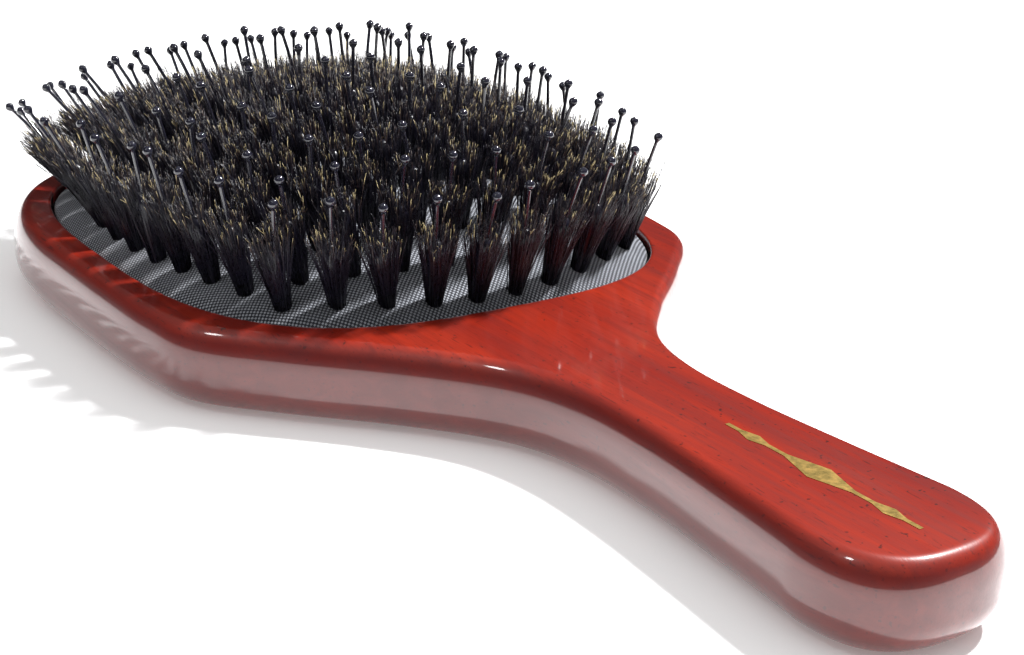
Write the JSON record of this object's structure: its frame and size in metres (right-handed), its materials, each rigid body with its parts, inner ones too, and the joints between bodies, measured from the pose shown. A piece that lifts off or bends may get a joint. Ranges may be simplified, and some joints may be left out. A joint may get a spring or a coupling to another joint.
{
  "type": "paddle brush",
  "caption": "Broad wooden paddle hairbrush: a domed fabric-faced air cushion that gives under load carries rows of boar bristle tufts with ball-tipped nylon pins that sway in the strokes.",
  "frame": {"origin": "centre of the brush's length and width, on its flat back", "axes": "+X along the handle towards its free end, +Z out of the bristle side, +Y across the head"},
  "size_m": [0.23, 0.1146, 0.0485],
  "materials": {
    "lacquered_wood": "glossy red mahogany lacquer",
    "gold_foil": "hot-stamped gold foil",
    "grey_fabric": "fine plain weave, dark grey with light dots",
    "black_rubber": "matte",
    "boar_bristle": "near-black natural bristle with golden split tips",
    "smoked_nylon": "glossy smoke-black nylon",
    "steel_wire": "drawn wire"
  },
  "bodies": {
    "handle": {"wood_body": "lacquered_wood", "handle_ornament": "gold_foil"},
    "cushion": {"cushion_fabric": "grey_fabric", "cushion_membrane": "black_rubber"},
    "tuft_row_01": {"bristle_row_01": "boar_bristle", "pin_row_01": "smoked_nylon", "anchor_wire_01": "steel_wire"},
    "tuft_row_02": {"bristle_row_02": "boar_bristle", "pin_row_02": "smoked_nylon", "anchor_wire_02": "steel_wire"},
    "tuft_row_03": {"bristle_row_03": "boar_bristle", "pin_row_03": "smoked_nylon", "anchor_wire_03": "steel_wire"},
    "tuft_row_04": {"bristle_row_04": "boar_bristle", "pin_row_04": "smoked_nylon", "anchor_wire_04": "steel_wire"},
    "tuft_row_05": {"bristle_row_05": "boar_bristle", "pin_row_05": "smoked_nylon", "anchor_wire_05": "steel_wire"},
    "tuft_row_06": {"bristle_row_06": "boar_bristle", "pin_row_06": "smoked_nylon", "anchor_wire_06": "steel_wire"},
    "tuft_row_07": {"bristle_row_07": "boar_bristle", "pin_row_07": "smoked_nylon", "anchor_wire_07": "steel_wire"},
    "tuft_row_08": {"bristle_row_08": "boar_bristle", "pin_row_08": "smoked_nylon", "anchor_wire_08": "steel_wire"},
    "tuft_row_09": {"bristle_row_09": "boar_bristle", "pin_row_09": "smoked_nylon", "anchor_wire_09": "steel_wire"},
    "tuft_row_10": {"bristle_row_10": "boar_bristle", "pin_row_10": "smoked_nylon", "anchor_wire_10": "steel_wire"}
  },
  "joints": [
    {"name": "cushion_press", "type": "slide", "parent": "handle", "child": "cushion", "axis": [0, 0, 1], "range_m": [-0.003, 0], "stiffness_N_per_m": 5000, "deforming": ["cushion_membrane", "cushion_fabric"]},
    {"name": "row_01_sway", "type": "hinge", "parent": "cushion", "child": "tuft_row_01", "pos_m": [-0.049, -0.04135, 0.01497], "axis": [1, 0, 0], "range_deg": [-4, 4], "stiffness_Nm_per_rad": 0.45},
    {"name": "row_02_sway", "type": "hinge", "parent": "cushion", "child": "tuft_row_02", "pos_m": [-0.049, -0.03216, 0.01698], "axis": [1, 0, 0], "range_deg": [-4, 4], "stiffness_Nm_per_rad": 0.45},
    {"name": "row_03_sway", "type": "hinge", "parent": "cushion", "child": "tuft_row_03", "pos_m": [-0.049, -0.02297, 0.01828], "axis": [1, 0, 0], "range_deg": [-4, 4], "stiffness_Nm_per_rad": 0.45},
    {"name": "row_04_sway", "type": "hinge", "parent": "cushion", "child": "tuft_row_04", "pos_m": [-0.049, -0.01378, 0.0189], "axis": [1, 0, 0], "range_deg": [-4, 4], "stiffness_Nm_per_rad": 0.45},
    {"name": "row_05_sway", "type": "hinge", "parent": "cushion", "child": "tuft_row_05", "pos_m": [-0.049, -0.00459, 0.01906], "axis": [1, 0, 0], "range_deg": [-4, 4], "stiffness_Nm_per_rad": 0.45},
    {"name": "row_06_sway", "type": "hinge", "parent": "cushion", "child": "tuft_row_06", "pos_m": [-0.049, 0.00459, 0.01906], "axis": [1, 0, 0], "range_deg": [-4, 4], "stiffness_Nm_per_rad": 0.45},
    {"name": "row_07_sway", "type": "hinge", "parent": "cushion", "child": "tuft_row_07", "pos_m": [-0.049, 0.01378, 0.0189], "axis": [1, 0, 0], "range_deg": [-4, 4], "stiffness_Nm_per_rad": 0.45},
    {"name": "row_08_sway", "type": "hinge", "parent": "cushion", "child": "tuft_row_08", "pos_m": [-0.049, 0.02297, 0.01828], "axis": [1, 0, 0], "range_deg": [-4, 4], "stiffness_Nm_per_rad": 0.45},
    {"name": "row_09_sway", "type": "hinge", "parent": "cushion", "child": "tuft_row_09", "pos_m": [-0.049, 0.03216, 0.01698], "axis": [1, 0, 0], "range_deg": [-4, 4], "stiffness_Nm_per_rad": 0.45},
    {"name": "row_10_sway", "type": "hinge", "parent": "cushion", "child": "tuft_row_10", "pos_m": [-0.049, 0.04135, 0.01497], "axis": [1, 0, 0], "range_deg": [-4, 4], "stiffness_Nm_per_rad": 0.45}
  ]
}
